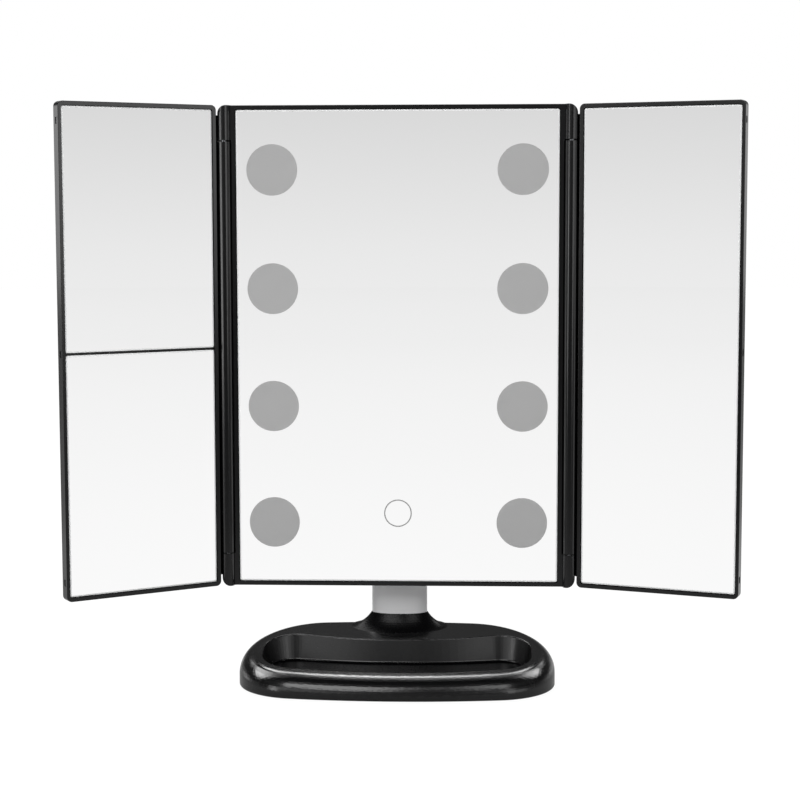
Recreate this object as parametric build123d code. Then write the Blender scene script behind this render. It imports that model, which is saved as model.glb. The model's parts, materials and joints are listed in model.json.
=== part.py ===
from build123d import *
import os
from math import atan2, cos, hypot, radians, sin, tan

# Trifold vanity mirror: a lit centre mirror with two folding side mirrors, carried by a
# tilting head on an oval post, on a weighted base with an open tray.
#
# Frame: millimetres, +Z up, -Y towards the user, +X to the user's right. The origin is on
# the table under the base. The side mirrors stand part open.

# --- mirrors and frames -----------------------------------------------------------------
mirror_height = 275.5
centre_mirror_width = 186.9
glass = 2.0                  # mirror thickness
glass_corner = 1.0           # corner radius of every mirror
glass_gap = 0.4              # shadow gap between a mirror's edge and its frame
tape = 0.4                   # bonding tape behind each mirror
rim_proud = 0.6              # frame edge in front of the mirror
frame_edge = 2.7             # frame above and below every mirror
centre_side_edge = 2.75      # centre frame beside its mirror
wing_hinge_edge = 2.7        # side frame between its mirror and the hinge
wing_free_edge = 2.2         # side frame at the free edge
edge_round = 0.3             # softened front edges of the frames
head_bottom = 54.5           # height of the head's lower edge over the table

# --- centre panel -----------------------------------------------------------------------
frame_floor = 1.8            # moulded floor that the centre mirror is bonded to
cover_depth = 8.2            # centre back cover, front to back
cover_wall = 4.0             # its side walls
cover_floor = 2.0            # its back
cover_round = 4.0            # rounding of its rear edges
screw_post_radius = 3.0
screw_post_gap = 1.0         # to the lamp board beside it
cover_screw_radius = 1.3
cover_head_radius = 2.6
cover_head = 1.2
lamp_diameter = 29.6
lamp_inset = 20.75           # lamp centres inside the mirror's side edges
lamp_top = 34.4              # centre of the top lamps below the mirror's top edge
lamp_pitch = 68.7
lamps_per_side = 4
lamp_ledge = 1.3             # seat of a lens in the frame floor
touch_diameter = 16.3
touch_line = 0.7
touch_depth = 0.3
touch_height = 40.5          # ring centre above the mirror's lower edge
sensor_diameter = 18.0
sensor = 1.0
sensor_gap = 0.15
tape_inset = 2.0             # centre tape inside the mirror's edges

# --- wing hinges ------------------------------------------------------------------------
column_radius = 3.6
column_gap = 0.5             # column to the centre frame's side
wing_gap = 0.9               # column to the side mirror's frame
axis_proud = 0.4             # hinge axis in front of the frames' faces
fold_gap = 0.2               # from each folded side mirror to the middle
top_knuckle = 20.0
bottom_knuckle = 19.3
top_knuckle_gap = 0.9
bottom_knuckle_gap = 0.5
knuckle_round = 5.5
hinge_pin_radius = 1.5
pin_in_knuckle = 13.0
pin_in_column = 11.0
pin_running_gap = 0.05
bush_wall = 0.95
column_neck_angle = 30.0     # where the web leaves the column, from its widest point
heel_gap = 0.3               # heel to the back cover's side when a side mirror is flat
heel_height = 2.0            # width of the heel's bearing face
guard = 2.3                  # lip of the back cover behind each column's gap
guard_gap = 0.3              # from the heel's sweep to the lip
guard_inset = 0.3            # lip's edge inside the hinge axis
left_open_angle = 32.7       # side mirrors swung forward of flat, as they stand
right_open_angle = 19.9

# --- side mirrors -----------------------------------------------------------------------
wing_thickness = 7.5
wing_corner = 3.0
wing_ledge = 5.0             # ledge behind each side mirror
wing_ledge_thickness = 1.2
wing_cover_floor = 1.5
wing_cover_round = 0.6
pan_inset = 0.5              # tape and the cover's hollow inside the mirror's edges
divider = 1.6                # between the two left mirrors
divider_sink = 1.2           # bar between them, behind their faces
snap_slot_length = 3.7
snap_slot_width = 3.0
snap_slot_depth = 1.0
snap_slot_inset = 10.8       # slot centre from the top and bottom edges
snap_hook = 0.5
snap_hook_gap = 0.2
rib = 1.2                    # stiffening ribs in the side covers
rib_height = 0.7
rib_count = 5

# --- tilt joint and post ----------------------------------------------------------------
post_inset = 13.4            # post centre in front of the base's rear edge
post_setback = 22.8          # post centre behind the frames' front faces
post_width = 33.1
post_depth = 14.8
sleeve_wall = 1.5
sleeve_top = 66.0
tilt_height = 30.0           # tilt axis above the head's lower edge
barrel_radius = 6.5
barrel_half = 14.0
neck_depth = 9.0
washer = 1.0
washer_radius = 6.0
washer_gap = 0.1             # bracket ear to washer
ear = 2.0                    # bracket sheet thickness
ear_radius = 7.5
ear_land = 0.1               # foot left beyond each ear's chamfer
bracket_height = 36.0
bracket_flange = 5.6         # bracket foot outside each ear
tilt_pin_radius = 3.0
tilt_running_gap = 0.05
tilt_head_radius = 5.0
tilt_head = 2.2
nut_across = 9.0
recess_half_width = 23.5     # channel in the back cover for post and bracket
recess_height = 55.0
recess_wall = 2.0
recess_air = 0.8             # frame floor to the channel's wall
bracket_screw_radius = 1.5
bracket_screw_inset = 6.0
bracket_head_radius = 2.6
bracket_head = 1.5

# --- batteries and electrics ------------------------------------------------------------
cell_radius = 7.15
cell_length = 48.5
cell_nub_radius = 2.6
cell_nub = 1.0
cell_pitch = 15.0
cell_count = 4
cell_air = 0.2
contact = 0.5
contact_spring = 3.0
contact_margin = 1.0         # cell's edge to its contact, and contact's edge to its spring
pocket_wall = 5.0
pocket_floor = 2.0
pocket_air = 2.2             # frame floor to the pocket's floor
pocket_bottom = 63.0         # pocket above the head's lower edge
lid = 2.4
lid_tongue = 2.2
lid_tongue_thickness = 1.2
lid_gap = 0.3
lid_grip_count = 4
lid_grip_pitch = 2.4
board = 1.6
led_board_width = 16.0
led_board_margin = 12.0
led_size = 3.0
led_height = 0.7
led_pitch = 6.5
control_board_gap = 3.7      # to the lamp board beside it
control_board_width = 22.0
control_board_height = 62.0
control_board_bottom = 15.0  # above the head's lower edge
chip_size = 8.0
switch_height = 60.0         # slide switch above the head's lower edge
switch_width = 8.0
switch_length = 13.0
switch_stem = 3.0
switch_travel = 4.0
switch_slot_gap = 0.3
switch_air = 0.2             # switch body to the cover
stem_gap = 0.3               # knob's stem to the switch body
knob_lift = 0.3              # knob's cap to the cover
knob_groove = 0.7
knob_groove_depth = 0.4
knob_width = 5.0
knob_length = 4.6
knob_proud = 1.8
inlet_height = 32.0
inlet_width = 7.8
inlet_thickness = 3.0
inlet_wall = 0.35
inlet_gap = 0.2
ribbon_width = 6.0
ribbon = 0.6

# --- base -------------------------------------------------------------------------------
base_width = 183.5
base_front = -51.8
base_rear = 45.6
base_side_bow = 5.2
base_front_bow = 10.9
base_rear_bow = 6.5
base_front_corner = 37.4
base_rear_corner = 50.9
base_edge_round = 11.0
base_foot_round = 1.5
base_wall = 3.0
base_foot = 0.5              # shell's lower edge over the table
deck_angle = 10.2            # top of the base rises to the rear
front_rim_height = 14.2      # at the tray's front edge
front_rim = 13.9             # base in front of the tray, at its middle
side_rim = 13.85
rear_rim = 37.7
tray_front_bow = 15.7
tray_front_corner = 19.7
tray_side_rear = 19.7        # Y where the sides would meet the rear wall
tray_rear_corner = 18.1
tray_neck_half = 26.0        # half of the rear wall's flat middle, before rounding
tray_neck_radius = 167.0
tray_arc_end = 0.3           # straight between the front arc and a front corner
tray_wall = 2.0
tray_rim_round = 0.8
tray_floor_top = 8.7
tray_floor_gap = 0.4         # shadow gap between the tray's wall and its floor
tray_floor_thickness = 2.5
tray_floor_lap = 1.6         # floor under the tray's wall
collar_height = 34.4
collar_edge = 0.4            # collar beyond the post all round
collar_top_angle = 57.0      # the collar's flare, from its top edge to its foot
collar_foot_angle = 10.0
collar_sink = 0.6            # foot of the flare below the base's top
collar_front_share = 0.6     # flare to the front and to the rear, against the sides
collar_rear_share = 0.15
collar_sections = 7
collar_plinth = 0.1          # plinth under the flare, beyond its foot and above it
bottom_plate = 2.0
bottom_plate_gap = 0.3
pad = 1.0
pad_inset = 4.0
ballast_inset = 2.0
core_gap = 0.1               # post core in the collar's bore
core_bottom = 14.0
core_boss_wall = 3.0
clamp_plate_length = 60.0
clamp_plate_width = 18.0
clamp_plate = 2.0
post_bolt_radius = 2.0
post_bolt_spacing = 18.0
post_bolt_length = 14.0
post_bolt_head_radius = 3.5
post_bolt_head = 3.0
base_post_radius = 2.6
base_screw_radius = 1.1
base_screw_length = 7.0
base_screw_head_radius = 2.1
base_screw_head = 1.0
base_side_screw_y = -5.0

# --- derived places ---------------------------------------------------------------------
post_y = base_rear - post_inset
head_front = post_y - post_setback
head_height = mirror_height + 2 * frame_edge
head_top = head_bottom + head_height
mirror_bottom = head_bottom + frame_edge
mirror_top = mirror_bottom + mirror_height
head_middle = head_bottom + head_height / 2
centre_half = centre_mirror_width / 2 + centre_side_edge

glass_front = head_front + rim_proud
glass_back = glass_front + glass
floor_front = glass_back + tape
frame_back = floor_front + frame_floor
cover_back = frame_back + cover_depth
cavity_back = cover_back - cover_floor

hinge_x = centre_half + column_gap + column_radius
hinge_y = head_front - axis_proud
column_bottom = head_bottom + bottom_knuckle + bottom_knuckle_gap
column_top = head_top - top_knuckle - top_knuckle_gap
bush_radius = hinge_pin_radius + pin_running_gap + bush_wall

wing_start = column_radius + wing_gap
wing_end = hinge_x - fold_gap
wing_glass_start = wing_start + wing_hinge_edge
wing_glass_end = wing_end - wing_free_edge
wing_front = axis_proud
wing_glass_front = wing_front + rim_proud
wing_glass_back = wing_glass_front + glass
wing_ledge_front = wing_glass_back + tape
wing_frame_back = wing_ledge_front + wing_ledge_thickness
wing_back = wing_front + wing_thickness
wing_floor_front = wing_back - wing_cover_floor

lamp_column = centre_mirror_width / 2 - lamp_inset
lamp_heights = [mirror_top - lamp_top - i * lamp_pitch for i in range(lamps_per_side)]
lamp_places = [(side * lamp_column, z) for side in (-1, 1) for z in lamp_heights]
touch_z = mirror_bottom + touch_height
well_radius = lamp_diameter / 2 - lamp_ledge

tilt_z = head_bottom + tilt_height
recess_top = head_bottom + recess_height
recess_front = frame_back + recess_air
recess_back = recess_front + recess_wall
ear_inner = barrel_half + washer + washer_gap
ear_outer = ear_inner + ear
bracket_half = ear_outer + bracket_flange
bracket_back = recess_back + ear

pocket_half = cell_count * cell_pitch / 2 + cell_air
pocket_low = head_bottom + pocket_bottom
pocket_inner_height = cell_length + cell_nub + contact_spring + 2 * contact
pocket_high = pocket_low + pocket_inner_height
pocket_floor_front = frame_back + pocket_air
pocket_front = pocket_floor_front + pocket_floor
cell_y = pocket_front + cell_air + cell_radius
lid_front = cell_y + cell_radius + cell_air
housing_back = lid_front + lid
cell_bottom = pocket_low + contact + contact_spring
control_board_x = lamp_column - led_board_width / 2 - control_board_gap - control_board_width / 2

tray_width = base_width - 2 * side_rim
tray_front = base_front + front_rim
tray_neck = base_rear - rear_rim
deck_slope = tan(radians(deck_angle))
bottom_plate_low = pad
bottom_plate_top = bottom_plate_low + bottom_plate
tray_floor_low = tray_floor_top - tray_floor_thickness
tray_wall_low = tray_floor_top + tray_floor_gap


# --- shared construction ----------------------------------------------------------------
def block(x, y, z):
    """Box between two X, two Y and two Z values."""
    size = Box(x[1] - x[0], y[1] - y[0], z[1] - z[0])
    return Pos((x[0] + x[1]) / 2, (y[0] + y[1]) / 2, (z[0] + z[1]) / 2) * size


def rod(radius, start, end):
    """Round bar from one point to another."""
    way = Vector(*end) - Vector(*start)
    return extrude(Plane(start, z_dir=way) * Circle(radius), way.length)


def upright(sketch, front, back):
    """Solid from a sketch drawn as the user sees it: X to the right, its Y upwards."""
    return extrude(Plane((0, back, 0), x_dir=(1, 0, 0), z_dir=(0, -1, 0)) * sketch, back - front)


def upright_frame(x, z, front, back, corner):
    """Rounded slab standing between two X and two Z values."""
    outline = RectangleRounded(x[1] - x[0], z[1] - z[0], corner)
    return upright(Pos((x[0] + x[1]) / 2, (z[0] + z[1]) / 2) * outline, front, back)


def around(middle, length):
    """Both ends of a length about its middle."""
    return (middle - length / 2, middle + length / 2)


def edges_at(part, axis, value):
    """Edges that lie in one plane across an axis."""
    return part.edges().filter_by_position(axis, value - 0.001, value + 0.001)


def level(sketch, low, high):
    """Solid from a plan sketch between two heights."""
    return extrude(Pos(0, 0, low) * sketch, high - low)


def deck_height(y):
    return front_rim_height + deck_slope * (y - tray_front)


def below_deck(part, drop=0.0):
    """Part of a solid under the base's sloping top."""
    slope = radians(deck_angle)
    cut = Plane((0, tray_front, front_rim_height - drop), x_dir=(1, 0, 0), z_dir=(0, -sin(slope), cos(slope)))
    return split(part, bisect_by=cut, keep=Keep.BOTTOM)


# --- base -------------------------------------------------------------------------------
def arc_radius(half_chord, bow):
    return (half_chord**2 + bow**2) / (2 * bow)


def arc_fall(radius, x):
    """How far an arc has fallen from its crest at a distance beside it."""
    return radius - (radius**2 - x**2) ** 0.5


def base_outline(inset=0.0):
    """Plan of the base: four shallow arcs with wide corners."""
    half_depth = (base_rear - base_front) / 2
    middle = (base_rear + base_front) / 2
    front = arc_radius(base_width / 2, base_front_bow)
    rear = arc_radius(base_width / 2, base_rear_bow)
    side = arc_radius(half_depth, base_side_bow)
    plan = Pos(0, base_front + front) * Circle(front - inset)
    plan &= Pos(0, base_rear - rear) * Circle(rear - inset)
    plan &= Pos(base_width / 2 - side, middle) * Rot(0, 0, 180) * Circle(side - inset)
    plan &= Pos(side - base_width / 2, middle) * Circle(side - inset)
    plan = fillet(plan.vertices().group_by(Axis.Y)[0], base_front_corner - inset)
    return fillet(plan.vertices().group_by(Axis.Y)[-1], base_rear_corner - inset)


def tray_front_radius():
    """Radius that fills the tray's front with one arc between its corners, and the arc's rise."""
    end = tray_width / 2
    rise = atan2(tray_front_bow, end)
    corner = tray_front_corner * tan((radians(90) - rise) / 2)
    return (hypot(end, tray_front_bow) - corner - tray_arc_end) / tan(rise), rise


def tray_outline(grow=0.0):
    """Plan of the tray: rounded ends, bowed front, and a rear wall that comes forward round the post."""
    end = tray_width / 2
    bow_radius, rise = tray_front_radius()
    front = tray_front - bow_radius * (1 / cos(rise) - 1)
    right = [(end, front + tray_front_bow), (end, tray_side_rear), (tray_neck_half, tray_neck)]
    corners = [Vector(0, front)] + [Vector(x, y) for x, y in right]
    corners += [Vector(-x, y) for x, y in reversed(right)]
    side = [tray_front_corner + grow, tray_rear_corner + grow, tray_neck_radius - grow]
    radii = [bow_radius + grow] + side + side[::-1]
    moved = []
    for i, corner in enumerate(corners):
        before = (corner - corners[i - 1]).normalized()
        after = (corners[(i + 1) % len(corners)] - corner).normalized()
        outward = Vector(before.Y + after.Y, -before.X - after.X)
        moved.append(corner + outward * (grow / (1 + before.dot(after))))
    return make_face(FilletPolyline(moved, radius=radii, close=True))


def post_plan(grow=0.0):
    return Pos(0, post_y) * Ellipse(post_width / 2 + grow, post_depth / 2 + grow)


def collar():
    """Flared root of the post: ellipses that widen along an arc and tip into the sloping top."""
    top = radians(collar_top_angle)
    foot = radians(collar_foot_angle)
    fall = collar_height - deck_height(post_y) + collar_sink
    radius = fall / (cos(foot) - cos(top))
    sections = []
    for i in range(collar_sections):
        share = i / (collar_sections - 1)
        angle = top + (foot - top) * share
        spread = radius * (sin(top) - sin(angle))
        drop = radius * (cos(angle) - cos(top))
        front = spread * collar_front_share
        rear = spread * collar_rear_share
        ring = Ellipse(post_width / 2 + collar_edge + spread, (post_depth + front + rear) / 2 + collar_edge)
        place = Pos(0, post_y + (rear - front) / 2, collar_height - drop)
        sections.append(place * Rot(deck_angle * share, 0, 0) * ring)
    plinth = place * Rot(deck_angle, 0, 0) * Pos(0, 0, collar_plinth) * Ellipse(
        post_width / 2 + collar_edge + spread + collar_plinth,
        (post_depth + front + rear) / 2 + collar_edge + collar_plinth)
    return loft(sections) + extrude(plinth, -base_wall)


def base_screw_places():
    """Screw places in the hollow rim, midway between the outer wall and the tray's wall."""
    front_x = tray_width / 4
    outer = base_front + base_wall + arc_fall(arc_radius(base_width / 2, base_front_bow), front_x)
    inner = tray_front - tray_wall + arc_fall(tray_front_radius()[0], front_x)
    side_x = (base_width / 2 - base_wall + tray_width / 2 + tray_wall) / 2
    rear = (tray_neck + base_rear) / 2
    right = [(front_x, (outer + inner) / 2), (side_x, base_side_screw_y), (tray_width / 3, rear)]
    return right + [(-x, y) for x, y in right]


def tray_rim(shell):
    """Edges where the tray's wall meets the sloping top."""
    inside = tray_outline(tray_rim_round).face()
    edges = [e for e in shell.edges() if abs(e.center().Z - deck_height(e.center().Y)) < 0.01]
    return [e for e in edges if inside.is_inside(Vector(e.center().X, e.center().Y, 0))]


def base_rim_hollow():
    """Space between the outer wall and the tray's wall, with screw posts and the post's boss left out."""
    hollow = below_deck(level(base_outline(base_wall), 0, collar_height), base_wall)
    roof = [e for e in hollow.edges() if e.center().Z > base_wall and abs(e.tangent_at(0.5).Z) < 0.5]
    hollow = fillet(roof, base_edge_round - base_wall)
    hollow -= level(tray_outline(tray_wall), tray_wall_low, collar_height)
    hollow -= level(post_plan(core_boss_wall - sleeve_wall), core_bottom, collar_height)
    for x, y in base_screw_places():
        hollow -= Pos(x, y) * level(Circle(base_post_radius), bottom_plate_top, collar_height)
    return hollow


def base_shell():
    """Moulded base: rounded ring round the tray, sloping top and flared collar, hollow below."""
    body = below_deck(level(base_outline(), base_foot, collar_height))
    crown = [e for e in body.edges() if e.center().Z > base_wall and abs(e.tangent_at(0.5).Z) < 0.5]
    body = fillet(crown, base_edge_round)
    body = fillet(edges_at(body, Axis.Z, base_foot), base_foot_round)
    shell = body - level(tray_outline(), 0, collar_height)
    shell = fillet(tray_rim(shell), tray_rim_round)
    shell += collar()
    shell -= base_rim_hollow()
    shell -= level(post_plan(core_gap - sleeve_wall), 0, collar_height)
    for x, y in base_screw_places():
        shell -= rod(base_screw_radius, (x, y, 0), (x, y, bottom_plate_low + base_screw_length))
    return shell


def tray_floor():
    """Separate plate that closes the tray from below."""
    return level(tray_outline(tray_floor_lap), tray_floor_low, tray_floor_top)


def ballast_plate():
    """Steel plate under the tray floor that keeps the stand down."""
    return level(tray_outline(-ballast_inset), bottom_plate_top, tray_floor_low)


def bottom_cover():
    """Flat cover that closes the base from below, with countersunk seats for its screws."""
    plate = level(base_outline(base_wall + bottom_plate_gap), bottom_plate_low, bottom_plate_top)
    for x, y in base_screw_places():
        plate -= rod(base_screw_radius, (x, y, 0), (x, y, bottom_plate_top))
        plate -= rod(base_screw_head_radius, (x, y, 0), (x, y, bottom_plate_low + base_screw_head))
    return plate


def anti_slip_pad():
    return level(base_outline(base_wall + pad_inset), 0, pad)


def base_screws():
    screws = []
    seat = bottom_plate_low + base_screw_head
    tip = bottom_plate_low + base_screw_length
    for x, y in base_screw_places():
        head = rod(base_screw_head_radius, (x, y, bottom_plate_low), (x, y, seat))
        screws.append(head + rod(base_screw_radius, (x, y, seat), (x, y, tip)))
    return screws


# --- post -------------------------------------------------------------------------------
def post_sleeve():
    """Oval aluminium tube that stands on the collar."""
    return level(post_plan() - post_plan(-sleeve_wall), collar_height, sleeve_top)


def post_core():
    """Cast core inside the sleeve, with the barrel of the tilt joint at its top."""
    core = level(post_plan(-sleeve_wall), core_bottom, sleeve_top)
    core += block((-barrel_half, barrel_half), (post_y - neck_depth / 2, post_y + neck_depth / 2),
                  (sleeve_top, tilt_z))
    core += rod(barrel_radius, (-barrel_half, post_y, tilt_z), (barrel_half, post_y, tilt_z))
    core -= rod(tilt_pin_radius + tilt_running_gap, (-ear_outer, post_y, tilt_z), (ear_outer, post_y, tilt_z))
    for x in around(0, post_bolt_spacing):
        core -= rod(post_bolt_radius, (x, post_y, 0), (x, post_y, core_bottom + post_bolt_length))
    return core


def clamp_plate_part():
    """Steel plate that pulls the post core down into the base."""
    plan = Pos(0, post_y) * RectangleRounded(clamp_plate_length, clamp_plate_width, clamp_plate)
    plate = level(plan, core_bottom - clamp_plate, core_bottom)
    for x in around(0, post_bolt_spacing):
        plate -= rod(post_bolt_radius, (x, post_y, 0), (x, post_y, core_bottom))
    return plate


def post_bolts():
    bolts = []
    seat = core_bottom - clamp_plate
    tip = core_bottom + post_bolt_length
    for x in around(0, post_bolt_spacing):
        head = rod(post_bolt_head_radius, (x, post_y, seat - post_bolt_head), (x, post_y, seat))
        bolts.append(head + rod(post_bolt_radius, (x, post_y, seat), (x, post_y, tip)))
    return bolts


# --- tilt joint -------------------------------------------------------------------------
def bracket_screw_places():
    x = ear_outer + bracket_flange / 2
    z = bracket_height / 2 - bracket_screw_inset
    return [(sx * x, tilt_z + sz * z) for sx in (-1, 1) for sz in (-1, 1)]


def tilt_bracket():
    """Folded steel bracket: a foot plate on the back cover and two round-ended ears."""
    low = tilt_z - bracket_height / 2
    high = tilt_z + bracket_height / 2
    foot = block((-bracket_half, bracket_half), (recess_back, bracket_back), (low, high))
    ears = []
    for side in (-1, 1):
        x = sorted((side * ear_inner, side * ear_outer))
        arm = block(x, (recess_back, post_y), (tilt_z - ear_radius, tilt_z + ear_radius))
        arm += rod(ear_radius, (x[0], post_y, tilt_z), (x[1], post_y, tilt_z))
        root = block(x, (recess_back, bracket_back + ear_radius), (low, high))
        root = chamfer(root.edges().filter_by(Axis.X).group_by(Axis.Y)[-1], ear_radius - ear_land)
        ears.append(arm + root)
    part = foot + ears[0] + ears[1]
    part -= rod(tilt_pin_radius, (-ear_outer, post_y, tilt_z), (ear_outer, post_y, tilt_z))
    for x, z in bracket_screw_places():
        part -= rod(bracket_screw_radius, (x, recess_back, z), (x, bracket_back, z))
    return part


def bracket_screws():
    screws = []
    for x, z in bracket_screw_places():
        shank = rod(bracket_screw_radius, (x, recess_front, z), (x, bracket_back, z))
        head = rod(bracket_head_radius, (x, bracket_back, z), (x, bracket_back + bracket_head, z))
        screws.append(shank + head)
    return screws


def tilt_pin():
    """Shaft that carries the head, with a round head at one end."""
    shaft = rod(tilt_pin_radius, (-ear_outer, post_y, tilt_z), (ear_outer + tilt_head, post_y, tilt_z))
    head = rod(tilt_head_radius, (-ear_outer - tilt_head, post_y, tilt_z), (-ear_outer, post_y, tilt_z))
    return shaft + head


def tilt_nut():
    plan = RegularPolygon(nut_across / 2, 6, major_radius=False)
    nut = extrude(Plane((ear_outer, post_y, tilt_z), z_dir=(1, 0, 0)) * plan, tilt_head)
    return nut - rod(tilt_pin_radius, (ear_outer, post_y, tilt_z), (ear_outer + tilt_head, post_y, tilt_z))


def friction_washers():
    washers = []
    for side in (-1, 1):
        start = (side * barrel_half, post_y, tilt_z)
        end = (side * (barrel_half + washer), post_y, tilt_z)
        ring = rod(washer_radius, start, end) - rod(tilt_pin_radius + tilt_running_gap, start, end)
        washers.append(ring)
    return washers


# --- centre panel -----------------------------------------------------------------------
def knuckles():
    """Fixed hinge knuckles at the head's four corners, rounded towards the outside."""
    shape = None
    for low, high in ((head_bottom, head_bottom + bottom_knuckle), (head_top - top_knuckle, head_top)):
        for side in (-1, 1):
            x = side * hinge_x
            inner = sorted((side * (centre_half - edge_round), x))
            knuckle = rod(column_radius, (x, hinge_y, low), (x, hinge_y, high))
            knuckle += block(inner, (head_front, hinge_y + column_radius), (low, high))
            shape = knuckle if shape is None else shape + knuckle
    outer = hinge_x + column_radius
    ends = upright_frame((-outer, outer), (head_bottom, head_top), hinge_y - column_radius,
                         hinge_y + column_radius, knuckle_round)
    return shape & ends


def screw_posts():
    """Screw places that hold the back cover to the frame."""
    x = (pocket_half + pocket_wall + lamp_column - led_board_width / 2) / 2
    low_x = lamp_column + led_board_width / 2 + screw_post_radius + screw_post_gap
    right = [(x, mirror_top - lamp_top), (x, head_middle + lamp_pitch / 2), (low_x, touch_z)]
    return right + [(-x, z) for x, z in right]


def centre_frame():
    """Front frame of the centre panel: raised rim, floor for the mirror, lamp wells and knuckles."""
    body = upright(Pos(0, head_middle) * Rectangle(2 * centre_half, head_height), head_front, frame_back)
    body = fillet(edges_at(body, Axis.Y, head_front), edge_round)
    body += knuckles()
    body -= upright_frame(around(0, centre_mirror_width + 2 * glass_gap),
                          (mirror_bottom - glass_gap, mirror_top + glass_gap),
                          head_front, floor_front, glass_corner + glass_gap)
    for x, z in lamp_places:
        body -= rod(well_radius, (x, floor_front, z), (x, frame_back, z))
    body -= rod(sensor_diameter / 2 + sensor_gap, (0, floor_front, touch_z), (0, frame_back, touch_z))
    for x, z in screw_posts():
        body += rod(screw_post_radius, (x, frame_back, z), (x, cavity_back, z))
        body -= rod(cover_screw_radius, (x, frame_back, z), (x, cavity_back, z))
    for side in (-1, 1):
        x = side * hinge_x
        for end, way in ((head_top - top_knuckle, 1), (head_bottom + bottom_knuckle, -1)):
            body -= rod(hinge_pin_radius, (x, hinge_y, end), (x, hinge_y, end + way * pin_in_knuckle))
    return body


def mirror_sheet(x, z, front):
    """Sheet of mirror glass with small corner radii."""
    return upright_frame(x, z, front, front + glass, glass_corner)


def touch_ring_band(depth):
    ring = Circle(touch_diameter / 2) - Circle(touch_diameter / 2 - touch_line)
    return upright(Pos(0, touch_z) * ring, glass_front, glass_front + depth)


def centre_mirror():
    """Mirror glass with a round hole for each lamp and an etched ring over the touch sensor."""
    sheet = mirror_sheet(around(0, centre_mirror_width), (mirror_bottom, mirror_top), glass_front)
    for x, z in lamp_places:
        sheet -= rod(lamp_diameter / 2, (x, glass_front, z), (x, glass_back, z))
    return sheet - touch_ring_band(touch_depth)


def centre_tape():
    sheet = upright_frame(around(0, centre_mirror_width - 2 * tape_inset),
                          (mirror_bottom + tape_inset, mirror_top - tape_inset),
                          glass_back, floor_front, glass_corner)
    for x, z in lamp_places:
        sheet -= rod(lamp_diameter / 2, (x, glass_back, z), (x, floor_front, z))
    return sheet - rod(sensor_diameter / 2 + sensor_gap, (0, glass_back, touch_z), (0, floor_front, touch_z))


def lamp_lenses():
    return [rod(lamp_diameter / 2, (x, glass_front, z), (x, floor_front, z)) for x, z in lamp_places]


def touch_sensor():
    return rod(sensor_diameter / 2, (0, glass_back, touch_z), (0, glass_back + sensor, touch_z))


def back_cover_outer():
    """Closed outer form of the back cover, before it is hollowed."""
    body = upright(Pos(0, head_middle) * Rectangle(2 * centre_half, head_height), frame_back, cover_back)
    body = fillet(edges_at(body, Axis.Y, cover_back), cover_round)
    housing = block(around(0, 2 * (pocket_half + pocket_wall)), (cavity_back, housing_back),
                    (pocket_low - pocket_wall, pocket_high + pocket_wall))
    body += fillet(housing.edges().filter_by(Axis.Y), pocket_wall / 2)
    guard_front = hinge_y + hypot(hinge_x - centre_half - heel_gap, wing_back) + guard_gap
    for side in (-1, 1):
        reach = sorted((side * (centre_half - cover_wall / 2), side * (hinge_x - guard_inset)))
        body += block(reach, (guard_front, guard_front + guard),
                      (head_bottom + knuckle_round, head_top - knuckle_round))
    return body


def centre_back_cover():
    """Back cover with a channel for the tilt bracket and a battery housing above it."""
    body = back_cover_outer()
    channel = (-recess_half_width, recess_half_width)
    pocket = (-pocket_half, pocket_half)
    housing_low = pocket_low - pocket_wall
    inner_x = centre_half - cover_wall
    hollow = block((-inner_x, inner_x), (frame_back, cavity_back),
                   (head_bottom + cover_wall, head_top - cover_wall))
    hollow -= block((channel[0] - recess_wall, channel[1] + recess_wall), (recess_front, cover_back),
                    (head_bottom, recess_top + recess_wall))
    hollow -= block((pocket[0] - pocket_wall, pocket[1] + pocket_wall), (pocket_floor_front, housing_back),
                    (housing_low, pocket_high + pocket_wall))
    body -= hollow
    body -= block(channel, (recess_back, cover_back), (head_bottom, recess_top))
    body -= block(pocket, (pocket_front, housing_back), (pocket_low, pocket_high))
    body -= block(pocket, (lid_front, housing_back), (housing_low, pocket_high))
    groove = pocket_half + lid_tongue + lid_gap
    body -= block((-groove, groove), (lid_front, lid_front + lid_tongue_thickness + lid_gap),
                  (housing_low, pocket_high))
    for x, z in screw_posts():
        body -= rod(cover_screw_radius, (x, cavity_back, z), (x, cover_back, z))
        body -= rod(cover_head_radius, (x, cover_back - cover_head, z), (x, cover_back, z))
    for x, z in bracket_screw_places():
        body -= rod(bracket_screw_radius, (x, recess_front, z), (x, recess_back, z))
    slot_length = switch_stem + switch_travel + 2 * switch_slot_gap
    body -= block(around(control_board_x, switch_stem + 2 * switch_slot_gap), (cavity_back, cover_back),
                  around(head_bottom + switch_height, slot_length))
    body -= block(around(control_board_x, inlet_width + 2 * inlet_gap), (cavity_back, cover_back),
                  around(head_bottom + inlet_height, inlet_thickness + 2 * inlet_gap))
    return body


def cover_screws():
    screws = []
    for x, z in screw_posts():
        seat = cover_back - cover_head
        shank = rod(cover_screw_radius, (x, frame_back, z), (x, seat, z))
        screws.append(shank + rod(cover_head_radius, (x, seat, z), (x, cover_back, z)))
    return screws


# --- batteries and electrics ------------------------------------------------------------
def cell_columns():
    return [(i - (cell_count - 1) / 2) * cell_pitch for i in range(cell_count)]


def battery_cells():
    """Round cells side by side, neighbours head to tail."""
    cells = []
    for i, x in enumerate(cell_columns()):
        flip = i % 2
        low = cell_bottom if not flip else pocket_low + contact + cell_nub
        cell = rod(cell_radius, (x, cell_y, low), (x, cell_y, low + cell_length))
        nub = (low + cell_length, low + cell_length + cell_nub) if not flip else (low - cell_nub, low)
        cells.append(cell + rod(cell_nub_radius, (x, cell_y, nub[0]), (x, cell_y, nub[1])))
    return cells


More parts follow.
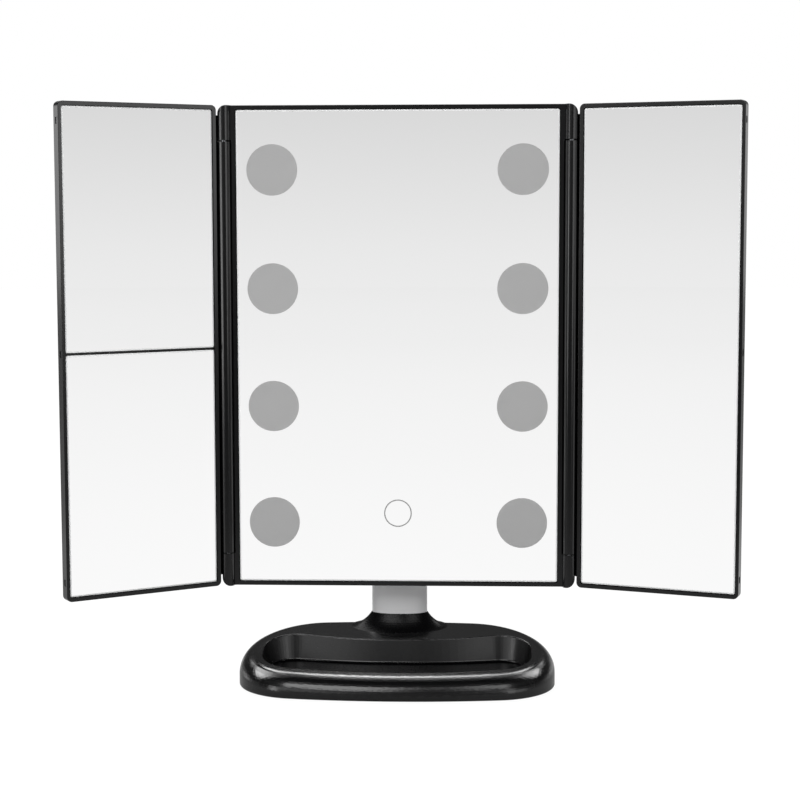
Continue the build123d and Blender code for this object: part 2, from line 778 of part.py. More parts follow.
def battery_contacts():
    """Contact plate and conical spring for each cell, at its flat end, and a plain plate at the other."""
    parts = []
    half = cell_radius - contact_margin
    wide = half - contact_margin
    for i, x in enumerate(cell_columns()):
        plan = around(x, 2 * half), around(cell_y, 2 * half)
        low = block(*plan, (pocket_low, pocket_low + contact))
        high = block(*plan, (pocket_high - contact, pocket_high))
        if i % 2:
            place = Pos(x, cell_y, pocket_high - contact - contact_spring / 2)
            parts += [low, high + place * Cone(cell_nub_radius, wide, contact_spring)]
        else:
            place = Pos(x, cell_y, pocket_low + contact + contact_spring / 2)
            parts += [low + place * Cone(wide, cell_nub_radius, contact_spring), high]
    return parts


def battery_lid():
    """Sliding lid with side tongues and finger ribs."""
    half = pocket_half - lid_gap
    low = pocket_low - pocket_wall
    plate = block((-half, half), (lid_front + lid_gap, housing_back), (low, pocket_high - lid_gap))
    tongue = pocket_half + lid_tongue
    plate += block((-tongue, tongue), (lid_front + lid_gap, lid_front + lid_tongue_thickness),
                   (low, pocket_high - lid_gap))
    for i in range(lid_grip_count):
        z = pocket_high - cell_radius - i * lid_grip_pitch
        plate += rod(lid_grip_pitch / 4, (-cell_pitch, housing_back, z), (cell_pitch, housing_back, z))
    return plate


def led_board(side):
    low = lamp_heights[-1] - led_board_margin
    high = lamp_heights[0] + led_board_margin
    return block(around(side * lamp_column, led_board_width), (frame_back, frame_back + board), (low, high))


def led_chips():
    """Four light-emitting packages behind each lens."""
    chips = []
    depth = (frame_back - led_height, frame_back)
    for x, z in lamp_places:
        for chip_x in around(x, led_pitch):
            for chip_z in around(z, led_pitch):
                chips.append(block(around(chip_x, led_size), depth, around(chip_z, led_size)))
    return chips


def control_board():
    """Board behind the switch and the inlet, with one controller chip between them."""
    low = head_bottom + control_board_bottom
    part = block(around(control_board_x, control_board_width), (frame_back, frame_back + board),
                 (low, low + control_board_height))
    chip_z = head_bottom + (switch_height + inlet_height) / 2
    return part + block(around(control_board_x, chip_size), (frame_back + board, frame_back + 2 * board),
                        around(chip_z, chip_size))


def switch_body():
    return block(around(control_board_x, switch_width), (frame_back + board, cavity_back - switch_air),
                 around(head_bottom + switch_height, switch_length))


def switch_knob():
    """Sliding thumb piece: stem through the cover's slot and a ribbed cap outside."""
    z = head_bottom + switch_height - switch_travel / 2
    cap_front = cover_back + knob_lift
    cap_back = cover_back + knob_proud
    stem = block(around(control_board_x, switch_stem), (cavity_back - switch_air + stem_gap, cap_front),
                 around(z, switch_stem))
    cap = block(around(control_board_x, knob_width), (cap_front, cap_back), around(z, knob_length))
    for i in (-1, 0, 1):
        cap -= block(around(control_board_x, knob_width), (cap_back - knob_groove_depth, cap_back),
                     around(z + i * knob_length / 3, knob_groove))
    return stem + cap


def power_inlet():
    """Metal shell of the charging socket, open to the rear."""
    z = head_bottom + inlet_height
    front = frame_back + board
    shell = block(around(control_board_x, inlet_width), (front, cover_back), around(z, inlet_thickness))
    shell = fillet(shell.edges().filter_by(Axis.Y), inlet_thickness / 4)
    inner = block(around(control_board_x, inlet_width - 2 * inlet_wall), (front + board, cover_back),
                  around(z, inlet_thickness - 2 * inlet_wall))
    blade = block(around(control_board_x, inlet_width / 2), (front + board, cover_back - board),
                  around(z, 2 * inlet_wall))
    return shell - (inner - blade)


def ribbon_cables():
    """Flat leads from the control board to both lamp boards and to the touch sensor."""
    depth = (frame_back, frame_back + ribbon)
    lamp_edge = lamp_column - led_board_width / 2
    board_edge = control_board_width / 2
    run = (pocket_low - ribbon_width, pocket_low)
    right = block((control_board_x + board_edge, lamp_edge), depth, run)
    left = block((-lamp_edge, control_board_x - board_edge), depth, run)
    half = ribbon_width / 4
    left += block((-half, half), depth, (touch_z - half, run[0]))
    left += block((-half, half), (glass_back + sensor, frame_back), (touch_z - half, touch_z + half))
    return [right, left]


# --- hinge pins and side mirrors --------------------------------------------------------
def hinge_pins(side):
    pins = []
    x = side * hinge_x
    for end, way in ((head_top - top_knuckle, 1), (head_bottom + bottom_knuckle, -1)):
        gap = top_knuckle_gap if way > 0 else bottom_knuckle_gap
        start = (x, hinge_y, end + way * pin_in_knuckle)
        pins.append(rod(hinge_pin_radius, start, (x, hinge_y, end - way * (gap + pin_in_column))))
    return pins


def place_wing(part, side):
    """Puts a side mirror's piece, built open flat on the right, on its hinge at its rest angle."""
    if side < 0:
        return Pos(-hinge_x, hinge_y, 0) * Rot(0, 0, left_open_angle) * mirror(part, about=Plane.YZ)
    return Pos(hinge_x, hinge_y, 0) * Rot(0, 0, -right_open_angle) * part


def wing_frame(divided):
    """Side mirror frame: raised rim, ledge behind the glass and slots for the cover's hooks."""
    body = upright_frame((wing_start, wing_end), (head_bottom, head_top), wing_front, wing_frame_back,
                         wing_corner)
    body = fillet(edges_at(body, Axis.Y, wing_front), edge_round)
    windows = [(mirror_bottom, mirror_top)]
    if divided:
        middle = (mirror_bottom + mirror_top) / 2
        windows = [(mirror_bottom, middle - divider / 2), (middle + divider / 2, mirror_top)]
    for low, high in windows:
        body -= upright_frame((wing_glass_start - glass_gap, wing_glass_end + glass_gap),
                              (low - glass_gap, high + glass_gap), wing_front, wing_ledge_front,
                              glass_corner + glass_gap)
        body -= upright_frame((wing_glass_start + wing_ledge, wing_glass_end - wing_ledge),
                              (low + wing_ledge, high - wing_ledge), wing_ledge_front, wing_frame_back,
                              wing_corner)
    if divided:
        body -= block((wing_glass_start, wing_glass_end), (wing_front, wing_glass_front + divider_sink),
                      (middle - divider, middle + divider))
    slot = ((wing_end - snap_slot_depth, wing_end), (wing_frame_back - snap_slot_width, wing_frame_back))
    for z in snap_places():
        body -= block(*slot, around(z, snap_slot_length))
    return body


def snap_places():
    return [head_bottom + snap_slot_inset, head_middle, head_top - snap_slot_inset]


def hinge_column():
    """Long hinge column, its web to the side cover, and the heel that stops it when flat.

    The heel runs on behind the knuckles, so no light shows between them and the side mirror.
    """
    span = (column_bottom, column_top)
    heel = centre_half + heel_gap - hinge_x
    nape = (column_radius * cos(radians(column_neck_angle)), column_radius * sin(radians(column_neck_angle)))
    outline = Polyline(
        (-nape[0], nape[1]),
        nape,
        (wing_start, wing_frame_back),
        (wing_start, wing_back),
        (heel, wing_back),
        (heel, wing_back - heel_height),
        close=True,
    )
    column = level(Circle(column_radius), *span) + level(make_face(outline), *span)
    return column + block((heel, wing_start + wing_corner), (wing_back - heel_height, wing_back),
                          (head_bottom + knuckle_round, head_top - knuckle_round))


def wing_cover():
    """Back of a side mirror: shallow pan with ribs, snap hooks and the hinge column."""
    body = upright_frame((wing_start, wing_end), (head_bottom, head_top), wing_frame_back, wing_back,
                         wing_corner)
    body = fillet(edges_at(body, Axis.Y, wing_back), wing_cover_round)
    inner = (wing_glass_start + pan_inset, wing_glass_end - pan_inset)
    body -= upright_frame(inner, (mirror_bottom + pan_inset, mirror_top - pan_inset),
                          wing_frame_back, wing_floor_front, wing_corner)
    for i in range(rib_count):
        z = mirror_bottom + mirror_height * (i + 1) / (rib_count + 1)
        body += block(inner, (wing_floor_front - rib_height, wing_floor_front), around(z, rib))
    inside = wing_end - snap_slot_depth + snap_hook_gap
    hook_front = wing_frame_back - snap_slot_width + snap_hook_gap
    hook = ((inside, inside + snap_hook), (hook_front, wing_frame_back))
    for z in snap_places():
        body += block(*hook, around(z, snap_slot_length - 2 * snap_hook_gap))
    body += hinge_column()
    for end, way in ((column_top, -1), (column_bottom, 1)):
        body -= rod(bush_radius, (0, 0, end), (0, 0, end + way * pin_in_column))
    return body


def hinge_bushes():
    """Plastic bushes in both ends of a hinge column."""
    bushes = []
    for end, way in ((column_top, -1), (column_bottom, 1)):
        start, stop = (0, 0, end), (0, 0, end + way * pin_in_column)
        bushes.append(rod(bush_radius, start, stop) - rod(hinge_pin_radius + pin_running_gap, start, stop))
    return bushes


def wing_mirror(low, high):
    return mirror_sheet((wing_glass_start, wing_glass_end), (low, high), wing_glass_front)


def wing_tape(windows):
    """Bonding tape on the ledge behind each sheet of a side mirror."""
    frames = []
    for low, high in windows:
        outer = upright_frame((wing_glass_start + pan_inset, wing_glass_end - pan_inset),
                              (low + pan_inset, high - pan_inset),
                              wing_glass_back, wing_ledge_front, glass_corner)
        inner = upright_frame((wing_glass_start + wing_ledge, wing_glass_end - wing_ledge),
                              (low + wing_ledge, high - wing_ledge),
                              wing_glass_back, wing_ledge_front, wing_corner)
        frames.append(outer - inner)
    return frames


# --- nodes ------------------------------------------------------------------------------
def wing_nodes(side, name, windows):
    """All nodes of one side mirror; windows names its sheets of glass and their spans."""
    spans = [span for _, span in windows]
    nodes = {
        f"{name}_frame": [wing_frame(divided=len(windows) > 1)],
        f"{name}_back_cover": [wing_cover()],
        f"{name}_mirror_tape": wing_tape(spans),
        f"{name}_hinge_bushes": hinge_bushes(),
    }
    for glass_name, (low, high) in windows:
        nodes[glass_name] = [wing_mirror(low, high)]
    placed = {node: [place_wing(piece, side) for piece in pieces] for node, pieces in nodes.items()}
    placed[f"{name}_hinge_pins"] = hinge_pins(side)
    return placed


half_glass = (mirror_bottom + mirror_top) / 2
nodes = {
    "base_shell": [base_shell()],
    "tray_floor": [tray_floor()],
    "ballast_plate": [ballast_plate()],
    "bottom_cover": [bottom_cover()],
    "anti_slip_pad": [anti_slip_pad()],
    "base_screws": base_screws(),
    "post_sleeve": [post_sleeve()],
    "post_core": [post_core()],
    "post_clamp_plate": [clamp_plate_part()],
    "post_bolts": post_bolts(),
    "tilt_bracket": [tilt_bracket()],
    "bracket_screws": bracket_screws(),
    "tilt_pin": [tilt_pin()],
    "tilt_nut": [tilt_nut()],
    "tilt_friction_washers": friction_washers(),
    "centre_frame": [centre_frame()],
    "centre_mirror": [centre_mirror()],
    "centre_mirror_tape": [centre_tape()],
    "lamp_lenses": lamp_lenses(),
    "touch_ring": [touch_ring_band(touch_depth)],
    "touch_sensor": [touch_sensor()],
    "centre_back_cover": [centre_back_cover()],
    "cover_screws": cover_screws(),
    "battery_cells": battery_cells(),
    "battery_contacts": battery_contacts(),
    "battery_lid": [battery_lid()],
    "left_led_board": [led_board(-1)],
    "right_led_board": [led_board(1)],
    "led_chips": led_chips(),
    "control_board": [control_board()],
    "power_switch_body": [switch_body()],
    "power_switch_knob": [switch_knob()],
    "power_inlet": [power_inlet()],
    "ribbon_cables": ribbon_cables(),
}
nodes.update(wing_nodes(-1, "left_wing", [
    ("left_lower_mirror", (mirror_bottom, half_glass - divider / 2)),
    ("left_upper_mirror", (half_glass + divider / 2, mirror_top)),
]))
nodes.update(wing_nodes(1, "right_wing", [("right_mirror", (mirror_bottom, mirror_top))]))

os.makedirs("parts", exist_ok=True)
for node, pieces in nodes.items():
    solids = [solid for piece in pieces for solid in piece.solids()]
    shape = solids[0] if len(solids) == 1 else Compound(children=solids)
    shape.label = node
    export_step(shape, f"parts/{node}.step")
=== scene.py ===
import json
from math import cos, pi, radians, sin, sqrt, tan

import bmesh
import bpy
from mathutils import Matrix, Vector
from mathutils.bvhtree import BVHTree


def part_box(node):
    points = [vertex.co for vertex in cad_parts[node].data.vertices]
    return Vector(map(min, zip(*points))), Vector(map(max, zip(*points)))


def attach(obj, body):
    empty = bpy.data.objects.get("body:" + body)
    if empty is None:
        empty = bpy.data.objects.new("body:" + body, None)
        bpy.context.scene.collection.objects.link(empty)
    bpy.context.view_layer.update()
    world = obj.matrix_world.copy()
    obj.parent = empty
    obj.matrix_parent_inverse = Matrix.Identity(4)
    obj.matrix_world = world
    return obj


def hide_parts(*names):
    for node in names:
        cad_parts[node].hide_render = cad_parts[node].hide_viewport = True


bl_info = {
    "name": "Trifold Vanity Mirror",
    "version": (1, 0, 0),
    "blender": (4, 5, 0),
    "location": "3D View > Sidebar > Vanity Mirror",
    "description": "Dresses a trifold lighted vanity mirror: glass, lamps, plastics, metals and studio",
    "category": "Object",
}

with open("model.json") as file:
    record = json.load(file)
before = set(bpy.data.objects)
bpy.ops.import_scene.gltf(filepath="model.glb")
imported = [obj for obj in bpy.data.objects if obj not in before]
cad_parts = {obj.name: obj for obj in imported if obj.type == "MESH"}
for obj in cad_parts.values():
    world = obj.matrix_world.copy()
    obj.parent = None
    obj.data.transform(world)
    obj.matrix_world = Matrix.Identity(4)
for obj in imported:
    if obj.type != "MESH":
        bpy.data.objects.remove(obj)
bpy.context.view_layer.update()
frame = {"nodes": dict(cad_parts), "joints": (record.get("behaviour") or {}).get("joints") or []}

MM = 0.001
MERGE = 0.001 * MM                     # vertices closer than this are one


# --- sizes read from the frame ------------------------------------------------------------

def rest_angle(joint_name):
    """How far a joint stands from its lower limit at rest."""
    joint = next(j for j in frame["joints"] if j["name"] == joint_name)
    return radians(-joint["range_deg"][0])


def facing(node):
    """Direction that a mirror faces: the side mirrors are swung forward on their hinges."""
    swings = {"left": rest_angle("left_wing_hinge"), "right": -rest_angle("right_wing_hinge")}
    turn = swings.get(node.split("_")[0], 0.0)
    return Vector((sin(turn), -cos(turn), 0))


# --- properties a user would change -------------------------------------------------------

class MirrorBaseSettings(bpy.types.PropertyGroup):
    tray_draft: bpy.props.FloatProperty(
        name="Tray draft", description="Slope of the tray's walls, which lets the base leave its mould",
        default=radians(12), min=0.0, max=radians(20), subtype="ANGLE", unit="ROTATION")
    tray_cove: bpy.props.FloatProperty(
        name="Tray cove", description="Radius of the hollow round at the foot of the tray's walls",
        default=0.9 * MM, min=0.2 * MM, max=2 * MM, subtype="DISTANCE", unit="LENGTH")


class MirrorGlassSettings(bpy.types.PropertyGroup):
    edge_width: bpy.props.FloatProperty(
        name="Ground edge", description="Width of the ground edge round each sheet of mirror glass",
        default=0.8 * MM, min=0.2 * MM, max=2 * MM, subtype="DISTANCE", unit="LENGTH")
    edge_fall: bpy.props.FloatProperty(
        name="Edge fall", description="How far the ground edge falls away at its outer side",
        default=0.25 * MM, min=0.05 * MM, max=1 * MM, subtype="DISTANCE", unit="LENGTH")


class MirrorFinishSettings(bpy.types.PropertyGroup):
    base_grain: bpy.props.FloatProperty(
        name="Base grain", description="Size of the moulded grain on the base",
        default=0.8 * MM, min=0.1 * MM, max=3 * MM, subtype="DISTANCE", unit="LENGTH")
    plastic_colour: bpy.props.StringProperty(
        name="Plastic colour", description="sRGB hex of the black plastic", default="#070708")
    lens_colour: bpy.props.StringProperty(
        name="Lens colour", description="sRGB hex of the unlit lamp lenses", default="#b2b2b2")
    metal_colour: bpy.props.StringProperty(
        name="Metal colour", description="sRGB hex of the post's anodised sleeve", default="#e6e6e7")


class MirrorStudioSettings(bpy.types.PropertyGroup):
    focal_pixels: bpy.props.FloatProperty(
        name="Focal length", description="Focal length in pixels of an 800 pixel wide picture",
        default=1865.0, min=400.0, max=6000.0)
    camera_place: bpy.props.FloatVectorProperty(
        name="Camera place", description="Where the camera stands", size=3,
        default=(0.0460, -1.0737, 0.2719), subtype="TRANSLATION", unit="LENGTH")
    camera_pitch: bpy.props.FloatProperty(
        name="Pitch", description="How far the camera looks down",
        default=radians(5.65), subtype="ANGLE", unit="ROTATION")
    camera_yaw: bpy.props.FloatProperty(
        name="Yaw", description="How far the camera looks to the right",
        default=radians(-2.36), subtype="ANGLE", unit="ROTATION")
    camera_roll: bpy.props.FloatProperty(
        name="Roll", description="Lean of the camera",
        default=radians(-0.12), subtype="ANGLE", unit="ROTATION")
    front_light: bpy.props.FloatProperty(
        name="Front light", description="Radiance of the front softbox at the left",
        default=5.0, min=0.0)
    rear_light: bpy.props.FloatProperty(
        name="Rear light", description="Radiance of the softboxes behind the object",
        default=3.0, min=0.0)
    side_light: bpy.props.FloatProperty(
        name="Side lights", description="Radiance of the brighter side light",
        default=4.4, min=0.0)
    glow: bpy.props.FloatProperty(
        name="Ceiling glow", description="Brightness of the ceiling that only the mirrors show",
        default=7.0, min=1.0)
    fill: bpy.props.FloatProperty(
        name="Fill", description="Strength of the even light from all round", default=0.25, min=0.0)


# --- shared construction ------------------------------------------------------------------

def linear(code):
    """Linear colour of an sRGB hex value."""
    shares = [int(code[i:i + 2], 16) / 255 for i in (1, 3, 5)]
    return [s / 12.92 if s <= 0.04045 else ((s + 0.055) / 1.055) ** 2.4 for s in shares] + [1.0]


def add_node(tree, kind, inputs=None, **settings):
    """Adds a shader node. Inputs take a value, or another node's output to link to."""
    node = tree.nodes.new(kind)
    for name, value in settings.items():
        setattr(node, name, value)
    for socket, value in (inputs or {}).items():
        if isinstance(value, bpy.types.NodeSocket):
            tree.links.new(value, node.inputs[socket])
        else:
            node.inputs[socket].default_value = value
    return node


def material_named(name, build, *values, **more):
    """Material of a name. The first time it is asked for, build adds its nodes and gives its shader."""
    material = bpy.data.materials.get(name)
    if material is None:
        material = bpy.data.materials.new(name)
        material.use_nodes = True
        tree = material.node_tree
        tree.nodes.clear()
        shader = build(tree, *values, **more)
        add_node(tree, "ShaderNodeOutputMaterial", {"Surface": shader.outputs[0]})
    return material


def object_from(name, bm, materials):
    """Object with a finished mesh at the origin."""
    mesh = bpy.data.meshes.new(name)
    bm.to_mesh(mesh)
    bm.free()
    for material in materials:
        mesh.materials.append(material)
    piece = bpy.data.objects.new(name, mesh)
    bpy.context.scene.collection.objects.link(piece)
    return piece


def dress(material, *nodes):
    """Gives CAD nodes their finish."""
    for node in nodes:
        piece = frame["nodes"][node]
        if piece.material_slots:
            piece.material_slots[0].material = material
        else:
            piece.data.materials.append(material)


# --- mirror glass -------------------------------------------------------------------------

OUTLINE_REACH = 0.5 * MM               # a sheet's outline stays this near its box, also at its round corners
SIDE_LEAN = 0.5                        # forward part of the normal, under which a face is a ground side


def ground_sheet(node, body):
    """Mirror glass whose sides are ground, with a narrow matt band round its face."""
    edge = bpy.context.scene.mirror_glass
    front = facing(node)
    across = Vector((-front.y, front.x, 0))
    bm = bmesh.new()
    bm.from_mesh(frame["nodes"][node].data)
    bmesh.ops.remove_doubles(bm, verts=bm.verts, dist=MERGE)
    depth = max(v.co.dot(front) for v in bm.verts)
    face = [f for f in bm.faces if all(depth - v.co.dot(front) < MERGE for v in f.verts)]
    sides = [v.co.dot(across) for v in bm.verts]
    heights = [v.co.z for v in bm.verts]
    left, right, bottom, top = min(sides), max(sides), min(heights), max(heights)

    def on_outline(vert):
        u, z = vert.co.dot(across), vert.co.z
        return min(u - left, right - u, z - bottom, top - z) < OUTLINE_REACH

    band = bmesh.ops.inset_region(bm, faces=face, thickness=edge.edge_width, depth=0.0,
                                  use_boundary=True, use_even_offset=True)["faces"]
    rim = [f for f in band if any(on_outline(v) for v in f.verts)]
    inner = {v for f in face for v in f.verts}
    for f in bm.faces:
        f.smooth = False
        f.material_index = int(abs(f.normal.dot(front)) < SIDE_LEAN)
    for f in rim:
        f.material_index = 1
    for v in {v for f in rim for v in f.verts} - inner:
        v.co -= front * edge.edge_fall
    piece = object_from(node + "_ground", bm, [silvered_glass(), ground_glass()])
    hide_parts(node)
    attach(piece, body)


# --- base shell ---------------------------------------------------------------------------

FOOT_RISE = 1.0 * MM                   # the tray's walls end less than this above the tray's floor
FLOOR_REACH = 2.0 * MM                 # a ray from a wall's foot finds the floor within this
WALL_LEAN = 0.01                       # upward part of the normal, under which a face is an upright wall
DECK_LEAN = (0.9, 0.999)               # the same part of the deck, which rises gently to the rear
COLLAR_RISE = 0.02 * MM                # what stands higher than this over the deck is the collar
COVE_CUTS = (1.0, 0.6, 0.3, 0.1)       # heights of the cove's bands, in shares of its radius


def cove_foot(bm, walls, foot, radius):
    """Ends upright walls in a small hollow round at their foot."""
    geom = list(dict.fromkeys(part for f in walls for part in (f, *f.edges, *f.verts)))
    for share in COVE_CUTS:
        geom = bmesh.ops.bisect_plane(bm, geom=geom, dist=MERGE, plane_co=(0, 0, foot + radius * share),
                                      plane_no=(0, 0, 1))["geom"]
    walls = {part for part in geom if isinstance(part, bmesh.types.BMFace)}
    moves = {}
    for vert in {v for f in walls for v in f.verts}:
        short = radius - (vert.co.z - foot)
        if short > MERGE:
            inward = sum((f.normal for f in vert.link_faces if f in walls), Vector())
            inward.z = 0
            moves[vert] = inward.normalized() * (radius - sqrt(max(radius ** 2 - short ** 2, 0)))
    for vert, move in moves.items():
        vert.co += move


def drafted_base():
    """Base shell whose tray walls slope in to a small cove, as moulded walls do, with a blasted collar."""
    settings = bpy.context.scene.mirror_base
    plate = frame["nodes"]["tray_floor"].data
    floor = BVHTree.FromPolygons([v.co for v in plate.vertices], [p.vertices for p in plate.polygons])
    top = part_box("tray_floor")[1][2]
    lean = tan(settings.tray_draft)
    bm = bmesh.new()
    bm.from_mesh(frame["nodes"]["base_shell"].data)
    bmesh.ops.remove_doubles(bm, verts=bm.verts, dist=MERGE)
    bm.normal_update()
    moves = {}
    upright = []
    for vert in bm.verts:
        near = top < vert.co.z < top + FOOT_RISE
        if not (near and floor.ray_cast(vert.co, (0, 0, -1), FLOOR_REACH)[0]):
            continue
        walls = [f for f in vert.link_faces if abs(f.normal.z) < WALL_LEAN]
        if walls:
            inward = sum((f.normal for f in walls), Vector()).normalized()
            height = max(v.co.z for f in walls for v in f.verts) - vert.co.z
            moves[vert] = inward * height * lean
            upright += walls
    if not moves:
        raise RuntimeError("no foot of the tray's walls was found")
    for vert, move in moves.items():
        vert.co += move
    bm.normal_update()
    cove_foot(bm, upright, min(v.co.z for v in moves), settings.tray_cove)

    low, high = DECK_LEAN
    deck = max((f for f in bm.faces if low < f.normal.z < high), key=lambda f: f.calc_area())
    level = deck.normal.dot(deck.verts[0].co)
    for face in bm.faces:
        face.smooth = False
        face.material_index = int(deck.normal.dot(face.calc_center_median()) - level > COLLAR_RISE)
    piece = object_from("base_shell_drafted", bm, [satin_abs(), blasted_abs()])
    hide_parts("base_shell")
    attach(piece, "stand")


# --- materials ----------------------------------------------------------------------------

ABS_IOR = 1.54
GLASS_IOR = 1.52
POLYCARBONATE_IOR = 1.58
BASE_GRAIN_DEPTH = 0.02 * MM           # of the grain that the base's mould leaves
TRAY_RIM = 23.5 * MM                   # height under which upright walls over the tray's floor are the tray's
WALL_ROUGHER = 0.10                    # how much rougher than the rest of the shell those walls are
WALL_FACING = (0.3, 0.6)               # upward part of the normal where a wall starts and has turned to deck
NOISE_RANGE = (0.3, 0.7)               # values that most of a noise lies between
NOISE_ROUGHNESS = 0.6
ROUGHNESS_SPREAD = 0.06                # how far a plain finish's roughness varies either way

# Finishes of fixings and hidden pieces: colour, middle of the roughness, size and depth of the grain in
# millimetres, and metallic.
PLAIN_FINISHES = {
    "Hot-rolled steel": ("#6d6e70", 0.5, 2.0, 0.03, 1.0),          # dull grey under a coarse scale
    "Cold-rolled steel": ("#a7a9ac", 0.28, 0.6, 0.006, 1.0),       # light grey with a soft sheen
    "Zinc-plated steel": ("#b9babd", 0.3, 0.5, 0.005, 1.0),        # pale and silky
    "Blackened steel": ("#232325", 0.4, 0.5, 0.006, 1.0),          # near black with a dull metal sheen
    "Ground steel pin": ("#85878a", 0.35, 0.4, 0.004, 1.0),        # mid grey with a fine blurred streak
    "Die-cast zinc": ("#8c8d90", 0.45, 0.8, 0.02, 1.0),            # grey with broad blurred lights
    "Nickel plating": ("#cfcdc6", 0.22, 0.5, 0.004, 1.0),          # bright and a little warm
    "EVA foam rubber": ("#19191a", 0.8, 0.7, 0.06, 0.0),           # matt black with open pores
    "Foam tape": ("#262627", 0.8, 0.6, 0.03, 0.0),                 # matt dark grey
    "Nylon moulded": ("#e4e2da", 0.45, 0.6, 0.01, 0.0),            # waxy off-white
    "Nylon black moulded": ("#151516", 0.4, 0.5, 0.01, 0.0),       # waxy black
    "Copper-clad film": ("#b77b45", 0.4, 0.5, 0.005, 0.0),         # flat orange brown under its lacquer
    "Printed cell wrap": ("#2b3036", 0.3, 1.0, 0.005, 0.0),        # smooth slate film
    "Glass-epoxy laminate": ("#245c38", 0.35, 0.8, 0.01, 0.0),     # green with a faint weave
    "Phosphor gel": ("#efe2a0", 0.3, 0.4, 0.01, 0.0),              # wet pale yellow
    "Polyester ribbon": ("#cfcfca", 0.45, 0.6, 0.01, 0.0),         # pale grey with a soft sheen
}


def grained(tree, colour, roughness, size, depth, more=None, detail=3.0, rougher=None):
    """Principled shader with an even grain of a given size and depth, whose roughness varies with it.

    Real grains of 0.05 to 0.2 mm are too fine to show, so they are drawn as coarse as they need to be.
    More sockets of the shader can be set, and rougher adds to the roughness where its mask is 1.
    """
    place = add_node(tree, "ShaderNodeTexCoord")
    noise = add_node(tree, "ShaderNodeTexNoise", {
        "Vector": place.outputs["Object"], "Scale": 1 / size, "Detail": detail,
        "Roughness": NOISE_ROUGHNESS})
    bump = add_node(tree, "ShaderNodeBump", {
        "Height": noise.outputs["Fac"], "Distance": depth, "Strength": 1.0})
    rough = add_node(tree, "ShaderNodeMapRange", {
        "Value": noise.outputs["Fac"], "From Min": NOISE_RANGE[0], "From Max": NOISE_RANGE[1],
        "To Min": roughness[0], "To Max": roughness[1]})
    if rougher:
        mask, extra = rougher
        rough = add_node(tree, "ShaderNodeMath", {
            0: mask(tree, place), 1: extra, 2: rough.outputs[0]}, operation="MULTIPLY_ADD")
    return add_node(tree, "ShaderNodeBsdfPrincipled", {
        "Base Color": linear(colour), "Roughness": rough.outputs[0], "Normal": bump.outputs[0],
        **(more or {})})


def in_box(tree, place, low, high):
    """1 inside the box between two corners, 0 outside it."""
    middle = (Vector(low) + Vector(high)) / 2
    half = (Vector(high) - Vector(low)) / 2
    moved = add_node(tree, "ShaderNodeVectorMath", {0: place, 1: middle}, operation="SUBTRACT")
    share = add_node(tree, "ShaderNodeVectorMath", {0: moved.outputs[0], 1: half}, operation="DIVIDE")
    positive = add_node(tree, "ShaderNodeVectorMath", {0: share.outputs[0]}, operation="ABSOLUTE")
    parts = add_node(tree, "ShaderNodeSeparateXYZ", {"Vector": positive.outputs[0]})
    flat = add_node(tree, "ShaderNodeMath", {0: parts.outputs["X"], 1: parts.outputs["Y"]},
                    operation="MAXIMUM")
    far = add_node(tree, "ShaderNodeMath", {0: flat.outputs[0], 1: parts.outputs["Z"]},
                   operation="MAXIMUM")
    return add_node(tree, "ShaderNodeMath", {0: far.outputs[0], 1: 1.0}, operation="LESS_THAN").outputs[0]


def tray_walls(tree, place):
    """1 on the upright walls of the tray, 0 elsewhere."""
    low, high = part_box("tray_floor")
    inside = in_box(tree, place.outputs["Object"], low, (high[0], high[1], TRAY_RIM))
    normal = add_node(tree, "ShaderNodeSeparateXYZ", {"Vector": place.outputs["Normal"]})
    upright = add_node(tree, "ShaderNodeMapRange", {
        "Value": normal.outputs["Z"], "From Min": WALL_FACING[0], "From Max": WALL_FACING[1],
        "To Min": 1.0, "To Max": 0.0})
    wall = add_node(tree, "ShaderNodeMath", {0: inside, 1: upright.outputs[0]}, operation="MULTIPLY")
    return wall.outputs[0]


def satin_abs():
    """ABS moulded in a lightly blasted tool: a soft sheen with a fine grain that breaks up highlights."""
    look = bpy.context.scene.mirror_finish
    return material_named("ABS satin moulded", grained, look.plastic_colour, (0.17, 0.23), look.base_grain,
                          BASE_GRAIN_DEPTH, {"IOR": ABS_IOR}, rougher=(tray_walls, WALL_ROUGHER))


def blasted_abs():
    """ABS moulded in a finely blasted tool: the tray's floor and the collar are black with little sheen."""
    look = bpy.context.scene.mirror_finish
    return material_named("ABS fine blasted", grained, look.plastic_colour, (0.24, 0.32), look.base_grain,
                          BASE_GRAIN_DEPTH, {"IOR": ABS_IOR, "Specular IOR Level": 0.12})


def gloss_abs():
    """ABS moulded in a polished tool: frames and hinge columns show crisp streaks of light."""
    look = bpy.context.scene.mirror_finish
    return material_named("ABS gloss moulded", grained, look.plastic_colour, (0.15, 0.20), 0.6 * MM,
                          0.004 * MM, {"IOR": ABS_IOR})


def textured_abs():
    """ABS moulded in a spark-eroded tool: the backs are matt and a little greyer, with a pebble grain."""
    return material_named("ABS spark-eroded", grained, "#121213", (0.38, 0.50), 0.9 * MM, 0.05 * MM,
                          {"IOR": ABS_IOR}, detail=4.0)


def ground_glass():
    """Ground glass edge: the wheel leaves it matt and white, so it draws a light line round the mirror."""
    return material_named("Ground glass edge", grained, "#fbfcfc", (0.5, 0.7), 0.4 * MM, 0.001 * MM,
                          {"IOR": GLASS_IOR})


def opal_lens():
    """Opal polycarbonate: unlit, the diffusers are an even matt grey."""
    look = bpy.context.scene.mirror_finish
    return material_named("Opal polycarbonate", grained, look.lens_colour, (0.6, 0.75), 0.5 * MM,
                          0.006 * MM, {"IOR": POLYCARBONATE_IOR, "Specular IOR Level": 0.2})


def ring_ink():
    """Screen-printed enamel ink: it fills the etched touch ring in flat matt grey."""
    return material_named("Screen-printed enamel ink", grained, "#a6a6a6", (0.5, 0.65), 0.3 * MM,
                          0.005 * MM)


